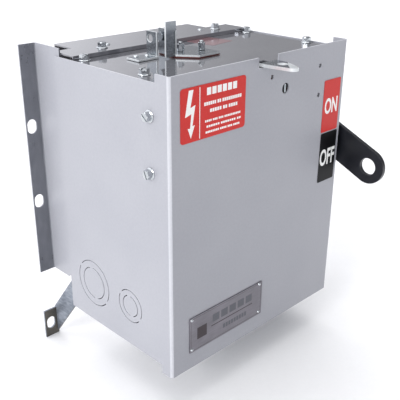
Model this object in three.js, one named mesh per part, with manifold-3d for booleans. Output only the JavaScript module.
// Hook-stick operated plug-in disconnect box: a fusible switch in a sheet-steel box that hangs on a
// busway by the flange at its back. Millimetres, +Z up. Inside "box" the front lower left corner of
// the cover is (0, 0, 0), X runs right along the front, Y runs back to the busway. The outer group
// shifts that corner so that the origin lies on the back face of the left mounting flange.
import * as THREE from 'three';
import { mergeVertices } from 'three/addons/utils/BufferGeometryUtils.js';
import Module from 'manifold-3d';

const wasm = await Module();
wasm.setup();

// ---- driving dimensions -------------------------------------------------------------------------
const width = 246;              // cover, outside
const height = 292;             // cover, outside
const coverDepth = 162;         // front face to the rear edge of the cover's side walls
const boxDepth = 199;           // front face to the busway face of the flanges
const sheet = 1.6;              // steel sheet of the cover, plates and flanges
const plateGap = 0.4;           // between sheets that lie on each other
const slip = 0.3;               // between pieces that seat on each other
const bendRadius = 3;           // outside radius of a bend

// cover
const sideTop = height - 7.6;   // side walls stop below the front's top edge
const sideBottom = 9.2;         // and above its bottom edge
const topTabDepth = 17;         // full-height returns of the front
const bottomTabDepth = 14.5;
const notchCentre = width / 2 - 0.7;      // notch that lets the padlock tongue through
const notchWidth = 28;
const notchBottom = height - 9.7;
const releaseHole = { x: notchCentre + 26.3, z: height - 34.2, r: 5.2 };
const slideHole = { x: width - 43.6, z: height - 50.4 };
const rivetHoles = [{ x: notchCentre + 5.6, z: height - 20.3 }, { x: width - 44.3, z: height - 20.8 },
  slideHole];
const rivetHoleRadius = 2.3;
const knockoutSlit = 0.9;       // width of the cut round a knockout
const knockoutTie = 5;          // length of each tie left in the cut
const knockouts = [
  { y: 119.8, z: 54.9, rings: [25.2, 17.45] },
  { y: 60.3, z: 54.2, rings: [17.45, 11.1] },
];
const coverScrewY = 24.5;
const coverScrewZ = [height - 36.6, height - 87.8];
const screwRadius = 2.4;
const coverScrew = { washer: 5.5, washerThickness: 1, across: 8, head: 3.8, length: 9 };
const releaseScrew = { shank: 3, recess: 0.8, rib: 2.4, ribWidth: 2.6, head: 3.5, length: 11.5, tab: 13 };

// barrier in front of the switch
const barrierFace = 16;
const barrier = { x0: 6, x1: width - 56, z0: height - 106, z1: height - 24, thickness: 2.4 };
const barrierBracket = { margin: 9, cross: 20 };

// labels: left, right, bottom, top, corner radius and thickness
const dangerLabel = [12.1, 91.3, height - 59.2, height - 11.9, 3, 0.3];
const onLabel = [width - 34.8, width - 6.8, height - 92.7, height - 37.6, 1.5, 0.3];
const offLabel = [width - 34.1, width - 6.1, height - 149, height - 94.1, 1.5, 0.3];
const nameplate = [22.5, 127.1, 18, 57.4, 1, 0.8];
const labelGap = 0.15;

// mounting flanges and straps
const flangeWidth = 16;         // outboard of the cover
const earFront = 120;           // front edge of the ears, inside the cover
const earBottom = 41.8;
const earStep = 156;            // the ear is full height only behind here
const rightFlangeTop = height - 30;
const slotWidth = 10.4;
const slotHeight = 14.9;
const slotInset = 9.3;          // slot centre, outboard of the cover
const slotZ = [height - 83.2, height - 165.5];
const strapThickness = 2;
const strapSlope = 1.42;        // fall per millimetre of run, towards the busway
const strapBand = 35.2;         // height of the band, measured upright
const strapFootBottom = -43.2;
const strapFront = 130;
const strapKnee = boxDepth - 33; // behind here the band leans outboard
const strapLean = 5.5;          // by this much at the foot
const footSlotZ = -26.2;

// top and back
const topPlateTop = height - 8.6;
const topPlateFront = 9;
const tongueRelief = { half: 15, back: 18 };  // cut out of the top plate's front edge
const backFace = 148.4;         // front face of the back panel
const sideFlange = 12;          // depth of the plates' turned edges
const ledgeTop = height - 4.5;
const ledgeFront = 136;
const ledgeNotchY = 168;        // behind here the ledge is narrower
const ledgeNotch = { left: 25, right: width - 37 };
const ledgeLip = 24;
const ledgeFrontGap = 0.8;      // top plate to the ledge's turned-down front edge
const bottomPlateBottom = 9;

// padlock tongue
const tongueThickness = 3;
const tongueTop = height - 5.8;
const tongueJoggle = 3;         // where it starts to step down, behind the front's outer face
const tongueRoot = 16;          // length under the top plate
const tongueSide = [notchCentre - 10, notchCentre + 13.4];
const tongueTip = { x: notchCentre - 0.4, y: -27.6, r: 5.2 };
const tongueCheek = { x: notchCentre + 3.4, y: -8.5, r: 10 };
const tongueHole = { x: notchCentre + 3.8, y: -12.7, r: 4.9 };

// top brackets
const bracketSheet = 1.9;
const bracketLeft = { x: 68.2, y0: 90, y1: 104.4, footX: 43, footY0: 88.5, rise: 24.6 };
const bracketRight = { x: 81.9, y0: 82, y1: 104.8, footX: 124, footY0: 63, footCorner: 96, rise: 25.4 };
const bracketTab = { width: 11, rise: 34.2 };
const bracketAxis = { y: 99.4, z: topPlateTop + 17.9, r: 2.6 };
const insulatorSheet = 0.8;
const standoffs = [{ x: 95.6, y: 88.8 }, { x: 116, y: 80.6 }];
const standoffAcross = 6.4;
const standoffHeight = 9;

// cover hinge, inside along the bottom of the front
const hinge = { y: 5, z: 6, knuckle: 2.6, pin: 1.2, leaf: 1, x0: 22, x1: width - 22, knuckles: 7,
  coverLeaf: 18, baseLeaf: 21, pinEnd: 2 };
const pinClearance = 0.2;

// handle and rotor, on one axis
const axis = { y: 54.5, z: height - 91.7 };
const leverDrop = 23.7;         // degrees below level in OFF
const throwAngle = 48;          // OFF to ON
const leverLength = 97.7;       // axis to eye
const leverHalfWidth = 18.8;
const leverEye = 9.4;
const leverThickness = 4.8;
const leverStandoff = 6;        // cover to lever
const leverNutAcross = 19;
const squareAcross = 10;        // square of the shaft that the lever sits on
const squareEnd = 9;            // shaft beyond the lever
const shaftRadius = 7;
const bush = { radius: 11, inside: 9, flangeRadius: 16, flange: 3 };
const dog = { thickness: 6, length: 16, depth: 11, clearance: 1 };
const rotorRadius = 10;
const rotorLeft = 28;           // left end of the rotor
const forkRadius = 14;
const forkEnd = width - 32;     // right end of the rotor
const cam = { x: width - 29, thickness: 8, base: 12, lift: 8 };
const slide = { x0: width - 49, x1: width - 37, thickness: 2, bottom: height - 86, top: height - 34,
  hookReach: 6, hookWidth: 2, foot: 3, arm: 12 };
const keeper = { y: 12, bottom: height - 30 };

// poles
const poleX = [60, width / 2 - 9, width - 78];
const poleNames = ['a', 'b', 'c'];
const bladeThickness = 3;
const bladeReach = 52;
const bladeHalfWidth = 6;
const bladeUpper = 28;          // degrees from straight up towards the back, in ON
const bladeLower = 123;
const leafThickness = 1.6;
const leafGap = 0.5;            // blade to leaf
const jawHalf = 9;              // half height of a contact jaw
const contactFace = 112;        // front of the straps behind the jaws
const strapHalf = 8;
const strapSheet = 3;
const switchBase = { x0: 22, x1: width - 40, y0: 136, z0: height - 160, z1: height - 28 };
const fuse = { y: 84, z0: 28, length: height - 165, barrel: 9.7, cap: 10.3, capLength: 16 };
const clipLeaf = 1.2;
const clipHeight = 12;
const fuseBase = { y0: 134, z0: 22, z1: 62 };
const lug = { y0: 117.4, half: 8.5, z0: 31, z1: 50, hole: 4.6 };
const groundBar = { x0: width - 32, x1: width - 14, y0: 96, y1: 140, z0: 24, z1: 34 };
const stab = { halfHeight: 7, half: 1.5, blockY1: 186, jawEnd: 226, jawGap: 6.4, jawLeaf: 1.8 };

// ---- materials ----------------------------------------------------------------------------------
const finish = (color, roughness, metalness) =>
  new THREE.MeshStandardMaterial({ color, roughness, metalness });
const paint = finish(0xb4b6be, 0.42, 0);
const platePaint = finish(0xa0a3a8, 0.25, 0.2);
const zinc = finish(0xc3c7cc, 0.35, 1);
const darkZinc = finish(0x7d8590, 0.4, 1);
const blackPaint = finish(0x1e1f26, 0.45, 0);
const redLabel = finish(0xc23b3d, 0.35, 0);
const blackLabel = finish(0x121214, 0.35, 0);
const plaque = finish(0x86868a, 0.35, 0.8);
const copper = finish(0xb87348, 0.35, 1);
const moulded = finish(0x2a2622, 0.6, 0);
const redBoard = finish(0x8c2f26, 0.6, 0);
const fuseBody = finish(0x8a5a3c, 0.5, 0);
const aluminium = finish(0xb9bbbd, 0.4, 1);

// ---- shape helpers ------------------------------------------------------------------------------
const rad = THREE.MathUtils.degToRad;

// a closed three.js geometry as a solid that can be joined and cut
function solid(geometry) {
  const bare = geometry.clone();
  bare.deleteAttribute('normal');
  bare.deleteAttribute('uv');
  const merged = mergeVertices(bare, 1e-4);
  return new wasm.Manifold(new wasm.Mesh({
    numProp: 3,
    vertProperties: new Float32Array(merged.attributes.position.array),
    triVerts: new Uint32Array(merged.index.array),
  }));
}

const join = (...solids) => solids.reduce((a, b) => a.add(b));
const cut = (body, ...tools) => tools.reduce((a, b) => a.subtract(b), body);

function box(x0, x1, y0, y1, z0, z1) {
  const block = new THREE.BoxGeometry(x1 - x0, y1 - y0, z1 - z0);
  return solid(block.translate((x0 + x1) / 2, (y0 + y1) / 2, (z0 + z1) / 2));
}

// outlines drawn in (y, z), (x, z) or (x, y) and pushed along X, Y or Z
function prism(shape, basis, offset, depth, curveSegments) {
  const body = new THREE.ExtrudeGeometry(shape, { depth, bevelEnabled: false, curveSegments });
  const place = new THREE.Matrix4().makeBasis(...basis).setPosition(offset);
  return solid(body.applyMatrix4(place));
}
const ex = new THREE.Vector3(1, 0, 0);
const ey = new THREE.Vector3(0, 1, 0);
const ez = new THREE.Vector3(0, 0, 1);
const prismX = (shape, x0, x1, segments = 12) =>
  prism(shape, [ey, ez, ex], new THREE.Vector3(x0, 0, 0), x1 - x0, segments);
const prismY = (shape, y0, y1, segments = 12) =>
  prism(shape, [ex, ez, ey.clone().negate()], new THREE.Vector3(0, y1, 0), y1 - y0, segments);
const prismZ = (shape, z0, z1, segments = 12) =>
  prism(shape, [ex, ey, ez], new THREE.Vector3(0, 0, z0), z1 - z0, segments);

const polygon = (points) => new THREE.Shape(points.map(([u, v]) => new THREE.Vector2(u, v)));
function disc(u, v, r) {
  return new THREE.Shape().absarc(u, v, r, 0, 2 * Math.PI);
}
function hexagon(u, v, across) {
  const corner = across / Math.sqrt(3);
  const points = [];
  for (let i = 0; i < 6; i += 1) {
    points.push([u + corner * Math.cos(rad(60 * i)), v + corner * Math.sin(rad(60 * i))]);
  }
  return polygon(points);
}
// upright slot with round ends
function slot(u, v, w, h) {
  const r = w / 2;
  const straight = h / 2 - r;
  const shape = new THREE.Shape();
  shape.absarc(u, v + straight, r, 0, Math.PI);
  shape.absarc(u, v - straight, r, Math.PI, 2 * Math.PI);
  return shape.closePath();
}
// bar with round ends from one centre to another
function roundBar(u0, v0, u1, v1, r) {
  const turn = Math.atan2(v1 - v0, u1 - u0);
  const shape = new THREE.Shape();
  shape.absarc(u1, v1, r, turn - Math.PI / 2, turn + Math.PI / 2);
  shape.absarc(u0, v0, r, turn + Math.PI / 2, turn + 1.5 * Math.PI);
  return shape.closePath();
}
const rodX = (y, z, r, x0, x1, segments = 12) => prismX(disc(y, z, r), x0, x1, segments);
const rodY = (x, z, r, y0, y1, segments = 12) => prismY(disc(x, z, r), y0, y1, segments);
const rodZ = (x, y, r, z0, z1, segments = 12) => prismZ(disc(x, y, r), z0, z1, segments);
const mirror = (body) => body.mirror([1, 0, 0]).translate([width, 0, 0]);

const assembly = new THREE.Group();
const flangeCentre = new THREE.Vector3(-slotInset, boxDepth, (slotZ[0] + slotZ[1]) / 2);
const unit = new THREE.Group();
unit.position.copy(flangeCentre).negate();
assembly.add(unit);

function piece(name, body, material) {
  const { numProp, vertProperties, triVerts } = body.getMesh();
  const positions = new Float32Array((vertProperties.length / numProp) * 3);
  for (let i = 0; i < positions.length / 3; i += 1) {
    for (let k = 0; k < 3; k += 1) positions[3 * i + k] = vertProperties[numProp * i + k];
  }
  const geometry = new THREE.BufferGeometry();
  geometry.setAttribute('position', new THREE.BufferAttribute(positions, 3));
  geometry.setIndex(new THREE.BufferAttribute(new Uint32Array(triVerts), 1));
  geometry.computeVertexNormals();
  const mesh = new THREE.Mesh(geometry, material);
  mesh.name = name;
  unit.add(mesh);
}

// ---- cover: one sheet bent round three sides ----------------------------------------------------
function bentCover() {
  const r = bendRadius;
  const inner = r - sheet;
  const outline = new THREE.Shape();
  outline.moveTo(0, coverDepth);
  outline.lineTo(0, r);
  outline.absarc(r, r, r, Math.PI, 1.5 * Math.PI);
  outline.absarc(width - r, r, r, 1.5 * Math.PI, 2 * Math.PI);
  outline.lineTo(width, coverDepth);
  outline.lineTo(width - sheet, coverDepth);
  outline.absarc(width - r, r, inner, 2 * Math.PI, 1.5 * Math.PI, true);
  outline.absarc(r, r, inner, 1.5 * Math.PI, Math.PI, true);
  outline.lineTo(sheet, coverDepth);
  return prismZ(outline.closePath(), 0, height, 5);
}
// one circle of a knockout: a slit through the wall, left whole at two ties
function knockoutSlits({ y, z, rings }) {
  const slits = [];
  for (const [ring, radius] of rings.entries()) {
    const tie = knockoutTie / radius / 2;
    const start = ring === 0 ? rad(35) : rad(80);
    for (const from of [start, start + Math.PI]) {
      const a0 = from + tie;
      const a1 = from + Math.PI - tie;
      const arc = new THREE.Shape().absarc(y, z, radius + knockoutSlit / 2, a0, a1);
      arc.absarc(y, z, radius - knockoutSlit / 2, a1, a0, true);
      slits.push(prismX(arc.closePath(), -1, sheet + 1, 10));
    }
  }
  return slits;
}
function makeCover() {
  const openings = [
    box(-1, width + 1, topTabDepth, coverDepth + 1, sideTop, height + 1),
    box(-1, width + 1, bottomTabDepth, coverDepth + 1, -1, sideBottom),
    box(notchCentre - notchWidth / 2, notchCentre + notchWidth / 2, -1, sheet + 1,
      notchBottom, height + 1),
    rodY(releaseHole.x, releaseHole.z, releaseHole.r, -1, sheet + 1, 16),
    ...rivetHoles.map(({ x, z }) => rodY(x, z, rivetHoleRadius, -1, sheet + 1, 8)),
    ...knockouts.flatMap(knockoutSlits),
    ...coverScrewZ.map((z) => rodX(coverScrewY, z, screwRadius + slip, -1, sheet + 1)),
    rodX(axis.y, axis.z, bush.radius + slip, width - sheet - 1, width + 1, 20),
  ];
  piece('cover', cut(bentCover(), ...openings), paint);
}
makeCover();

// ---- hinge along the bottom of the front --------------------------------------------------------
function knuckleSpans(first) {
  const pitch = (hinge.x1 - hinge.x0) / hinge.knuckles;
  const spans = [];
  for (let i = first; i < hinge.knuckles; i += 2) {
    spans.push([hinge.x0 + i * pitch + slip, hinge.x0 + (i + 1) * pitch - slip]);
  }
  return spans;
}
function hingeLeaf(name, plate, own, other, material) {
  const reach = hinge.knuckle + 2 * slip;
  const tubes = own.map(([x0, x1]) => rodX(hinge.y, hinge.z, hinge.knuckle, x0, x1, 8));
  const relief = other.map(([x0, x1]) => box(x0 - 2 * slip, x1 + 2 * slip,
    hinge.y - reach, hinge.y + reach, hinge.z - reach, hinge.z + reach));
  const bore = rodX(hinge.y, hinge.z, hinge.pin + pinClearance, hinge.x0 - 1, hinge.x1 + 1, 8);
  piece(name, cut(join(cut(plate, ...relief), ...tubes), bore), material);
}
const coverKnuckles = knuckleSpans(0);
const baseKnuckles = knuckleSpans(1);
const leafBack = hinge.y - hinge.knuckle + hinge.leaf;
hingeLeaf('cover_hinge_leaf',
  box(hinge.x0, hinge.x1, sheet + plateGap, leafBack, hinge.z, hinge.z + hinge.coverLeaf),
  coverKnuckles, baseKnuckles, zinc);
const leafTop = hinge.z + hinge.knuckle;
hingeLeaf('base_hinge_leaf',
  box(hinge.x0, hinge.x1, hinge.y, hinge.y + hinge.baseLeaf, leafTop - hinge.leaf, leafTop),
  baseKnuckles, coverKnuckles, zinc);
piece('hinge_pin',
  rodX(hinge.y, hinge.z, hinge.pin, hinge.x0 - hinge.pinEnd, hinge.x1 + hinge.pinEnd, 8), zinc);

// ---- labels and nameplate on the front ----------------------------------------------------------
function frontPlate(name, [x0, x1, z0, z1, corner, thickness], material) {
  const outline = new THREE.Shape();
  outline.absarc(x1 - corner, z1 - corner, corner, 0, Math.PI / 2);
  outline.absarc(x0 + corner, z1 - corner, corner, Math.PI / 2, Math.PI);
  outline.absarc(x0 + corner, z0 + corner, corner, Math.PI, 1.5 * Math.PI);
  outline.absarc(x1 - corner, z0 + corner, corner, 1.5 * Math.PI, 2 * Math.PI);
  piece(name, prismY(outline.closePath(), -labelGap - thickness, -labelGap, 4), material);
}
frontPlate('danger_label', dangerLabel, redLabel);
frontPlate('on_label', onLabel, redLabel);
frontPlate('off_label', offLabel, blackLabel);
frontPlate('nameplate', nameplate, plaque);

// ---- screws and barrier inside the left wall ----------------------------------------------------
function makeBarrier() {
  const wallX = sheet + plateGap;
  const { margin, cross } = barrierBracket;
  const z0 = coverScrewZ[1] - margin;
  const z1 = coverScrewZ[0] + margin;
  const wallLeaf = box(wallX, wallX + sheet, barrierFace - sheet, coverScrewY + margin, z0, z1);
  const crossLeaf = box(wallX, wallX + cross, barrierFace - sheet, barrierFace, z0, z1);
  const holes = coverScrewZ.map((z) => rodX(coverScrewY, z, screwRadius + slip, 0, wallX + sheet + 1));
  piece('barrier_bracket', cut(join(wallLeaf, crossLeaf), ...holes), zinc);
  const board = box(barrier.x0, barrier.x1, barrierFace + plateGap,
    barrierFace + plateGap + barrier.thickness, barrier.z0, barrier.z1);
  const relief = box(barrier.x0 - 1, wallX + cross + 2, barrierFace, coverScrewY + margin + 1,
    z0 - 2, z1 + 2);
  piece('fuse_barrier', cut(board, relief), redBoard);
  for (const [i, z] of coverScrewZ.entries()) {
    const { washer: washerRadius, washerThickness, across, head: headHeight, length } = coverScrew;
    const washer = rodX(coverScrewY, z, washerRadius, -slip - washerThickness, -slip, 16);
    const head = prismX(hexagon(coverScrewY, z, across),
      -slip - washerThickness - headHeight, -slip - washerThickness / 2);
    const shank = rodX(coverScrewY, z, screwRadius, -slip - washerThickness / 2, length);
    piece(`cover_screw_${['upper', 'lower'][i]}`, join(washer, head, shank), zinc);
  }
}
makeBarrier();

// ---- handle: lever, shaft, cam, bush and nut ----------------------------------------------------
const leverAngle = rad(180 + leverDrop);
const eye = {
  y: axis.y + leverLength * Math.cos(leverAngle),
  z: axis.z + leverLength * Math.sin(leverAngle),
};
const leverX = width + leverStandoff;
const shaftEnd = leverX + leverThickness + squareEnd;
// a bar through the axis, lying along the way the cover carries it out when the cover opens
function acrossAxis(length, thickness, x0, x1) {
  const swing = Math.atan2(axis.z - hinge.z, axis.y - hinge.y) + Math.PI / 2;
  const half = new THREE.Vector2(length / 2, thickness / 2);
  const centre = new THREE.Vector2(axis.y, axis.z);
  const corners = [[-1, -1], [1, -1], [1, 1], [-1, 1]].map(([u, v]) =>
    new THREE.Vector2(u * half.x, v * half.y).rotateAround(new THREE.Vector2(), swing).add(centre));
  return prismX(new THREE.Shape(corners), x0, x1);
}
function makeHandle() {
  const sleeve = rodX(axis.y, axis.z, bush.radius, width - bush.inside, width + 1, 20);
  const collar = rodX(axis.y, axis.z, bush.flangeRadius, width + slip, width + slip + bush.flange, 20);
  const bore = rodX(axis.y, axis.z, shaftRadius + pinClearance, width - bush.inside - 1, leverX, 24);
  piece('handle_bush', cut(join(sleeve, collar), bore), zinc);

  const square = acrossAxis(squareAcross, squareAcross, leverX - 0.5, shaftEnd);
  const shaft = join(
    rodX(axis.y, axis.z, shaftRadius, forkEnd + 1, leverX - 0.5, 24),
    cut(square, box(shaftEnd - 8, shaftEnd + 1, 0, axis.y - 5, 0, height)),
    acrossAxis(dog.length, dog.thickness, forkEnd - dog.depth, forkEnd + 2));
  piece('handle_shaft', shaft, darkZinc);

  const blank = prismX(roundBar(axis.y, axis.z, eye.y, eye.z, leverHalfWidth),
    leverX, leverX + leverThickness, 16);
  const lever = cut(blank,
    rodX(eye.y, eye.z, leverEye, leverX - 1, leverX + leverThickness + 1, 24),
    acrossAxis(squareAcross + 2 * slip, squareAcross + 2 * slip,
      leverX - 1, leverX + leverThickness + 1));
  piece('handle_lever', lever, blackPaint);

  const nut = cut(
    prismX(hexagon(axis.y, axis.z, leverNutAcross), leverX + leverThickness + slip, shaftEnd - 1.5),
    acrossAxis(squareAcross + 2 * slip, squareAcross + 2 * slip, leverX, shaftEnd + 1));
  piece('handle_nut', nut, zinc);
}
makeHandle();

// cam that lifts the interlock slide evenly over the throw: each point of the lobe is the support
// distance along the contact direction plus its rate of change across it
function makeCam() {
  const rate = cam.lift / rad(throwAngle);
  const steps = 8;
  const points = [];
  for (let i = 0; i <= steps; i += 1) {
    const turn = rad(throwAngle) * (i / steps);
    const support = cam.base + rate * turn;
    points.push([
      axis.y - support * Math.sin(turn) - rate * Math.cos(turn),
      axis.z + support * Math.cos(turn) - rate * Math.sin(turn),
    ]);
  }
  for (let i = 0; i <= steps; i += 1) {
    const turn = rad(130 + 200 * (i / steps));
    const heel = cam.base - 0.5;
    points.push([axis.y - heel * Math.sin(turn), axis.z + heel * Math.cos(turn)]);
  }
  const lobe = prismX(polygon(points), cam.x, cam.x + cam.thickness);
  const bore = rodX(axis.y, axis.z, shaftRadius + 0.1, cam.x - 1, cam.x + cam.thickness + 1, 24);
  piece('interlock_cam', cut(lobe, bore), darkZinc);
}
makeCam();

// ---- interlock slide and its release screw, behind the front ------------------------------------
function makeInterlock() {
  const { x0, x1, thickness, bottom, top, hookReach, hookWidth } = slide;
  const y0 = sheet + plateGap;
  const y1 = y0 + thickness;
  const footBottom = axis.z + cam.base + slip;
  const upright = box(x0, x1, y0, y1, bottom, top);
  const hookY = keeper.y + hookReach;
  const hookTop = keeper.bottom - cam.lift - 2 * slip;
  const hook = box(x0, x1, y0, hookY, hookTop - hookWidth, hookTop);
  const hookEnd = box(x0, x1, hookY - hookWidth, hookY, hookTop - hookWidth, keeper.bottom - hookWidth);
  const across = box(x1 - 1, cam.x + cam.thickness + 1, y0, y1, footBottom, footBottom + slide.arm);
  const foot = box(cam.x - 1, cam.x + cam.thickness + 1, y0, axis.y + cam.base,
    footBottom, footBottom + slide.foot);
  const guide = slot(slideHole.x, slideHole.z - cam.lift / 2, 5, 5 + cam.lift);
  piece('interlock_slide',
    cut(join(upright, hook, hookEnd, across, foot), prismY(guide, y0 - 1, y1 + 1)), zinc);

  const { x, z, r } = releaseHole;
  const { shank, recess, rib, ribWidth, head, length, tab } = releaseScrew;
  const face = recess + rib;
  const radius = r - 3 * slip;
  const grip = prismY(roundBar(x, z - radius + ribWidth / 2, x, z + radius - ribWidth / 2, ribWidth / 2),
    recess, face + 1);
  piece('release_screw', join(grip,
    rodY(x, z, radius, face, face + head, 16),
    rodY(x, z, shank, face + head - 0.5, recess + length, 12),
    box(x - shank, x + tab, recess + length - 4, recess + length - 2, z - shank, z + shank)), zinc);
}
makeInterlock();

// ---- mounting flanges, straps -------------------------------------------------------------------
const earX = sheet + plateGap;
function flange(top) {
  const r = bendRadius;
  const x1 = earX + sheet;
  const outline = new THREE.Shape();
  outline.moveTo(earX, earFront);
  outline.lineTo(earX, boxDepth - r);
  outline.absarc(x1 - r, boxDepth - r, r - sheet, 0, Math.PI / 2);
  outline.lineTo(-flangeWidth, boxDepth - sheet);
  outline.lineTo(-flangeWidth, boxDepth);
  outline.absarc(x1 - r, boxDepth - r, r, Math.PI / 2, 0, true);
  outline.lineTo(x1, earFront);
  const openings = slotZ.map((z) => prismY(slot(-slotInset, z, slotWidth, slotHeight),
    boxDepth - sheet - 1, boxDepth + 1, 8));
  const corner = prismX(polygon([[earFront - 1, earBottom + 6], [coverDepth + 1, earBottom + 6],
    [coverDepth + 7.4, earBottom], [coverDepth + 7.4, earBottom - 1], [earFront - 1, earBottom - 1]]),
    earX - 1, x1 + 1);
  const step = box(earX - 1, x1 + 1, earFront - 1, earStep, topPlateTop - sheet - slip, height + 1);
  return cut(prismZ(outline.closePath(), earBottom, top, 5), corner, step, ...openings);
}
piece('side_flange_left', flange(height), paint);
piece('side_flange_right', mirror(flange(rightFlangeTop)), paint);

function strap() {
  const x0 = earX + sheet + plateGap;
  const x1 = x0 + strapThickness;
  const rise = (y) => (boxDepth - y) * strapSlope;
  const band = (y0, y1) => prismX(polygon([
    [y1, strapFootBottom + rise(y1)], [y1, strapFootBottom + strapBand + rise(y1)],
    [y0, strapFootBottom + strapBand + rise(y0)], [y0, strapFootBottom + rise(y0)],
  ]), x0, x1);
  const leaning = band(strapKnee, boxDepth).warp((point) => {
    point[0] -= strapLean * (point[1] - strapKnee) / (boxDepth - strapKnee);
  });
  const foot = box(-flangeWidth - 0.8, x1 - strapLean, boxDepth - strapThickness, boxDepth,
    strapFootBottom, strapFootBottom + strapBand - 1);
  const opening = prismY(slot(-slotInset, footSlotZ, slotWidth, slotHeight),
    boxDepth - strapThickness - 1, boxDepth + 1, 8);
  return cut(join(band(strapFront, strapKnee), leaning, foot), opening);
}
piece('strap_left', strap(), darkZinc);
piece('strap_right', mirror(strap()), darkZinc);

// ---- plates -------------------------------------------------------------------------------------
const plateX0 = sheet + plateGap + 0.1;
const insideEar = earX + sheet + plateGap;
function pan(y0, y1, surface, turned) {
  const plate = box(plateX0, width - plateX0, y0, y1, Math.min(surface, surface - sheet), surface);
  const [z0, z1] = turned < 0 ? [surface + turned, surface] : [surface - sheet, surface + turned];
  const sides = [box(plateX0, plateX0 + sheet, y0, y1, z0, z1),
    box(width - plateX0 - sheet, width - plateX0, y0, y1, z0, z1)];
  const besideEar = [box(0, insideEar, earFront - plateGap, y1 + 1, z0 - 1, z1 + 1),
    box(width - insideEar, width, earFront - plateGap, y1 + 1, z0 - 1, z1 + 1)];
  return cut(join(plate, ...sides), ...besideEar);
}
const plateBack = backFace - slip;
const keeperTab = box(slide.x0 - 1, slide.x1 + 1, keeper.y, keeper.y + sheet,
  keeper.bottom, topPlateTop - 0.5);
const topPan = pan(topPlateFront, plateBack, topPlateTop, -sideFlange);
const reliefCut = box(notchCentre - tongueRelief.half, notchCentre + tongueRelief.half,
  topPlateFront - 1, tongueRelief.back, topPlateTop - sheet - 1, topPlateTop + 1);
piece('top_plate', join(cut(topPan, reliefCut), keeperTab), platePaint);
piece('bottom_plate', pan(hinge.y - 0.5, plateBack, bottomPlateBottom + sheet, sideFlange), paint);

const stabZ = axis.z + (bladeReach - 8) * Math.cos(rad(bladeUpper));
function makeBack() {
  const window = box(poleX[0] - 24, poleX[2] + 24, backFace - 1, backFace + sheet + 1,
    stabZ - 13, stabZ + 13);
  const panelX0 = insideEar + strapThickness + plateGap;
  const panel = box(panelX0, width - panelX0,
    backFace, backFace + sheet, bottomPlateBottom, topPlateTop - 1);
  piece('back_panel', cut(panel, window), paint);

  const z0 = ledgeTop - sheet;
  const ledge = join(
    box(insideEar, width - insideEar, ledgeFront, ledgeNotchY, z0, ledgeTop),
    box(insideEar, width - insideEar, ledgeFront, ledgeFront + sheet, topPlateTop + ledgeFrontGap, ledgeTop),
    box(ledgeNotch.left, ledgeNotch.right, ledgeNotchY - 1, boxDepth, z0, ledgeTop),
    box(ledgeNotch.left, ledgeNotch.right, boxDepth - sheet, boxDepth, ledgeTop - ledgeLip, ledgeTop));
  piece('rear_top_plate', ledge, platePaint);
}
makeBack();

// ---- padlock tongue: riveted under the top plate, stepped up through the notch -------------------
function makeTongue() {
  const root = topPlateTop - sheet - slip;
  const low = root - tongueThickness;
  const high = tongueTop - tongueThickness;
  const back = tongueRelief.back + tongueRoot;
  const stepBack = tongueJoggle + tongueTop - root;
  const tip = tongueTip;
  const cheek = tongueCheek;
  const [left, right] = tongueSide;
  const front = tip.y - tip.r - 1;
  const profile = prismX(polygon([
    [back, low], [back, root], [stepBack, root], [tongueJoggle, tongueTop],
    [front, tongueTop], [front, high], [tongueJoggle - 1.2, high], [stepBack - 1.2, low],
  ]), left, right);
  const run = new THREE.Vector2(cheek.x - tip.x, cheek.y - tip.y);
  const tangent = run.angle() - Math.acos((tip.r - cheek.r) / run.length());
  const taper = new THREE.Vector2(tip.x - left, tip.y);
  const leftTangent = taper.angle() - Math.acos(-tip.r / taper.length());
  const plan = new THREE.Shape();
  plan.moveTo(left, back + 1);
  plan.lineTo(left, 0);
  plan.absarc(tip.x, tip.y, tip.r, leftTangent, 2 * Math.PI + tangent);
  plan.absarc(cheek.x, cheek.y, cheek.r, tangent, 0);
  plan.lineTo(right, back + 1);
  const outline = prismZ(plan.closePath(), low - 1, tongueTop + 1, 12);
  const hole = rodZ(tongueHole.x, tongueHole.y, tongueHole.r, low, tongueTop + 1, 20);
  piece('padlock_tongue', cut(profile.intersect(outline), hole), zinc);
}
makeTongue();

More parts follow.
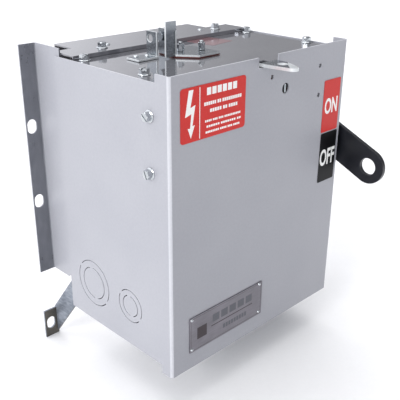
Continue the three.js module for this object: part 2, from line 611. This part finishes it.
// ---- brackets on top ----------------------------------------------------------------------------
function makeTopBrackets() {
  const seat = topPlateTop + slip;
  const left = bracketLeft;
  const legLeft = box(left.x - bracketSheet, left.x, left.y0, left.y1, seat, topPlateTop + left.rise);
  const footLeft = box(left.footX, left.x, left.footY0, left.y1 + 1.6, seat, seat + bracketSheet);
  const holeLeft = rodX(bracketAxis.y, bracketAxis.z, bracketAxis.r + 1, left.x - 4, left.x + 2, 16);
  piece('top_bracket_left', cut(join(legLeft, footLeft), holeLeft), zinc);

  const right = bracketRight;
  const outline = [[right.x, right.y1], [right.x, right.y0 - 1], [right.footCorner, right.footY0],
    [right.footX, right.footY0], [right.footX, right.y1]];
  piece('insulator_sheet', prismZ(polygon(outline), seat, seat + insulatorSheet), redBoard);
  const foot = seat + insulatorSheet + slip;
  const plate = prismZ(polygon(outline), foot, foot + bracketSheet);
  const legRight = box(right.x, right.x + bracketSheet, right.y0 - 0.8, right.y1, foot,
    topPlateTop + right.rise);
  const tab = box(right.x - bracketTab.width, right.x + bracketSheet, right.y0, right.y0 + bracketSheet,
    foot, topPlateTop + bracketTab.rise);
  const holeRight = rodX(bracketAxis.y, bracketAxis.z, bracketAxis.r + 0.2, right.x - 2, right.x + 4, 16);
  const studHoles = standoffs.map(({ x, y }) => rodZ(x, y, screwRadius + slip, foot - 1, foot + 4));
  piece('top_bracket_right', cut(join(plate, legRight, tab), holeRight, ...studHoles), zinc);

  const pinHead = rodX(bracketAxis.y, bracketAxis.z, 4.2, right.x - slip - 3, right.x - slip, 16);
  const pinShank = rodX(bracketAxis.y, bracketAxis.z, bracketAxis.r - 0.1, right.x - 1, right.x + 8);
  piece('bracket_pin', join(pinHead, pinShank), zinc);
  for (const [i, { x, y }] of standoffs.entries()) {
    const bottom = foot + bracketSheet + slip;
    piece(`top_standoff_${i + 1}`,
      prismZ(hexagon(x, y, standoffAcross), bottom, bottom + standoffHeight), zinc);
  }
}
makeTopBrackets();

// ---- rotor: insulated shaft with a fork for the handle's dog, and three V-shaped blades ----------
const onDirection = (degrees, r) =>
  [axis.y + r * Math.sin(rad(degrees)), axis.z + r * Math.cos(rad(degrees))];
function makeRotor() {
  const bar = rodX(axis.y, axis.z, rotorRadius, rotorLeft, forkEnd - 3, 16);
  const fork = rodX(axis.y, axis.z, forkRadius, forkEnd - dog.depth - 5, forkEnd, 20);
  const groove = acrossAxis(4 * forkRadius, dog.thickness + 2 * dog.clearance,
    forkEnd - dog.depth - 1, forkEnd + 1);
  piece('rotor_shaft', cut(join(bar, fork), groove), moulded);

  for (const [i, x] of poleX.entries()) {
    const x0 = x - bladeThickness / 2;
    const x1 = x + bladeThickness / 2;
    const arms = [bladeUpper, bladeLower].map((angle) => {
      const [tipY, tipZ] = onDirection(angle - throwAngle, bladeReach - bladeHalfWidth);
      return prismX(roundBar(axis.y, axis.z, tipY, tipZ, bladeHalfWidth), x0, x1, 6);
    });
    const hub = rodX(axis.y, axis.z, rotorRadius + 4, x0, x1, 16);
    const bore = rodX(axis.y, axis.z, rotorRadius + slip, x0 - 1, x1 + 1, 12);
    piece(`blade_${poleNames[i]}`, cut(join(hub, ...arms), bore), copper);
  }
}
makeRotor();

// ---- fixed contacts, fuses, clips and lugs, one set a pole ---------------------------------------
function jaw(x, angle, y1) {
  const [y, z] = onDirection(angle, bladeReach - 8);
  const near = bladeThickness / 2 + leafGap;
  const leaf = (x0) => box(x0, x0 + leafThickness, y - jawHalf, y1, z - jawHalf, z + jawHalf);
  const bridge = box(x - near - leafThickness, x + near + leafThickness, contactFace - 2, y1,
    z - jawHalf, z + jawHalf);
  return { body: join(leaf(x + near), leaf(x - near - leafThickness), bridge), z };
}
// spring clip that holds a fuse cap: open to the front
function fuseClip(x, z0) {
  const r = fuse.cap + slip;
  const outside = r + clipLeaf;
  const back = fuse.y + r;
  const ring = cut(
    box(x - outside, x + outside, fuse.y - 6, back + clipLeaf, z0, z0 + clipHeight),
    box(x - r, x + r, fuse.y - 7, back, z0 - 1, z0 + clipHeight + 1));
  return { ring, back: back + clipLeaf };
}
function makePole(x, name) {
  const strapY1 = contactFace + strapSheet;
  const upper = jaw(x, bladeUpper, contactFace + 1);
  const lineBody = join(upper.body,
    box(x - strapHalf, x + strapHalf, contactFace, strapY1, upper.z - jawHalf, upper.z + jawHalf),
    box(x - stab.half, x + stab.half, strapY1 - 1, stab.blockY1 + 1, upper.z - stab.halfHeight,
      upper.z + stab.halfHeight),
    stabJaw(x, upper.z));
  piece(`line_contact_${name}`, lineBody, copper);

  const lower = jaw(x, bladeLower, contactFace + 1);
  const fuseTop = fuse.z0 + fuse.length;
  const upperClip = fuseClip(x, fuseTop - 2 - clipHeight);
  const linkZ = fuseTop - 2 - clipHeight;
  const loadBody = join(lower.body, upperClip.ring,
    box(x - strapHalf, x + strapHalf, contactFace, strapY1, linkZ - strapSheet, lower.z + jawHalf),
    box(x - strapHalf, x + strapHalf, upperClip.back - clipLeaf, strapY1, linkZ - strapSheet, linkZ + 1));
  piece(`load_contact_${name}`, loadBody, copper);

  const body = new THREE.LatheGeometry([
    [0, 0], [fuse.cap, 0], [fuse.cap, fuse.capLength], [fuse.barrel, fuse.capLength],
    [fuse.barrel, fuse.length - fuse.capLength], [fuse.cap, fuse.length - fuse.capLength],
    [fuse.cap, fuse.length], [0, fuse.length],
  ].map(([r, y]) => new THREE.Vector2(r, y)), 20).rotateX(Math.PI / 2).translate(x, fuse.y, fuse.z0);
  piece(`fuse_${name}`, solid(body), fuseBody);

  const lowerClip = fuseClip(x, fuse.z0 + 2);
  const clipBody = join(lowerClip.ring,
    box(x - strapHalf, x + strapHalf, lowerClip.back - clipLeaf, fuseBase.y0 - slip,
      fuse.z0 + 2 - strapSheet, fuse.z0 + 2.5));
  piece(`load_clip_${name}`, clipBody, copper);

  const block = box(x - lug.half, x + lug.half, lug.y0, fuseBase.y0 - slip, lug.z0, lug.z1);
  const wireHole = rodZ(x, (lug.y0 + fuseBase.y0) / 2, lug.hole, lug.z0 - 1, lug.z1 + 1, 16);
  const screwHead = rodY(x, (lug.z0 + lug.z1) / 2, 3.6, lug.y0 - 4, lug.y0 + 1);
  piece(`load_lug_${name}`, join(cut(block, wireHole), screwHead), aluminium);
}
// two sprung leaves that grip a bus bar, flared at the mouth
function stabJaw(x, z) {
  const y0 = stab.blockY1;
  const inner = stab.jawGap / 2;
  const outer = inner + stab.jawLeaf;
  const half = stab.halfHeight + 1;
  const leaf = (side) => {
    const points = [[inner, y0 + 4], [inner, stab.jawEnd - 7], [inner + 2.5, stab.jawEnd],
      [outer + 2.5, stab.jawEnd], [outer, stab.jawEnd - 7], [outer, y0 + 4]];
    const signed = points.map(([u, v]) => [x + side * u, v]);
    return prismZ(polygon(side > 0 ? signed : signed.reverse()), z - half, z + half);
  };
  return join(leaf(1), leaf(-1), box(x - outer, x + outer, y0 + slip, y0 + 5, z - half, z + half));
}
for (const [i, x] of poleX.entries()) makePole(x, poleNames[i]);

// ---- insulating bases ---------------------------------------------------------------------------
function makeBases() {
  const { x0, x1, y0, z0, z1 } = switchBase;
  const y1 = backFace - slip;
  const pedestalY0 = contactFace + strapSheet + slip;
  const lowerZ = onDirection(bladeLower, bladeReach - 8)[1];
  const half = strapHalf + 1;
  const pedestals = poleX.flatMap((x) => [
    box(x - half, x + half, pedestalY0, y0 + 1, stabZ - jawHalf - 1, stabZ + jawHalf + 1),
    box(x - half, x + half, pedestalY0, y0 + 1, lowerZ - 2 * jawHalf, lowerZ + jawHalf),
  ]);
  const fins = [(poleX[0] + poleX[1]) / 2, (poleX[1] + poleX[2]) / 2].map((x) =>
    box(x - 1.5, x + 1.5, 72, y0 + 1, z0, z1));
  const arms = [[rotorLeft + 4, rotorLeft + 12], [forkEnd - dog.depth - 16, forkEnd - dog.depth - 8]]
    .map(([a, b]) => box(a, b, axis.y - 5, y0 + 1, axis.z - 18, axis.z + 18));
  const bars = poleX.map((x) => box(x - stab.half - slip, x + stab.half + slip, pedestalY0 - 1, y1 + 1,
    stabZ - stab.halfHeight - slip, stabZ + stab.halfHeight + slip));
  const bore = rodX(axis.y, axis.z, rotorRadius + pinClearance + 0.1, x0, x1, 24);
  const finRelief = rodX(axis.y, axis.z, rotorRadius + 1, x0 + 14, x1 - 24, 20);
  const mouth = box(x0, x1, axis.y - 8, axis.y - 3, axis.z - 4, axis.z + 4);
  const body = join(box(x0, x1, y0, y1, z0, z1), ...pedestals, ...fins, ...arms);
  piece('switch_base', cut(body, bore, finRelief, mouth, ...bars), moulded);

  piece('fuse_base', box(x0, x1, fuseBase.y0, backFace - slip, fuseBase.z0, fuseBase.z1), moulded);

  const passage = poleX.map((x) => box(x - stab.half - slip, x + stab.half + slip, backFace - 2,
    stab.blockY1 + 1, stabZ - stab.halfHeight - slip, stabZ + stab.halfHeight + slip));
  const block = box(poleX[0] - 22, poleX[2] + 22, backFace + 0.1, stab.blockY1, stabZ - 12, stabZ + 12);
  piece('stab_block', cut(block, ...passage), redBoard);
}
makeBases();

function makeGround() {
  const { x0, x1, y0, y1, z0, z1 } = groundBar;
  const pitch = (y1 - y0) / 4;
  const holes = [0, 1, 2, 3].map((i) => rodX(y0 + pitch * (i + 0.5), (z0 + z1) / 2, 3, x0 - 1, x1 + 1));
  const foot = box(x0 + 5, x1 - 5, y0, y1, bottomPlateBottom + sheet + slip, z0 + 1);
  piece('ground_bar', join(cut(box(x0, x1, y0, y1, z0, z1), ...holes), foot), aluminium);
}
makeGround();

export default assembly;
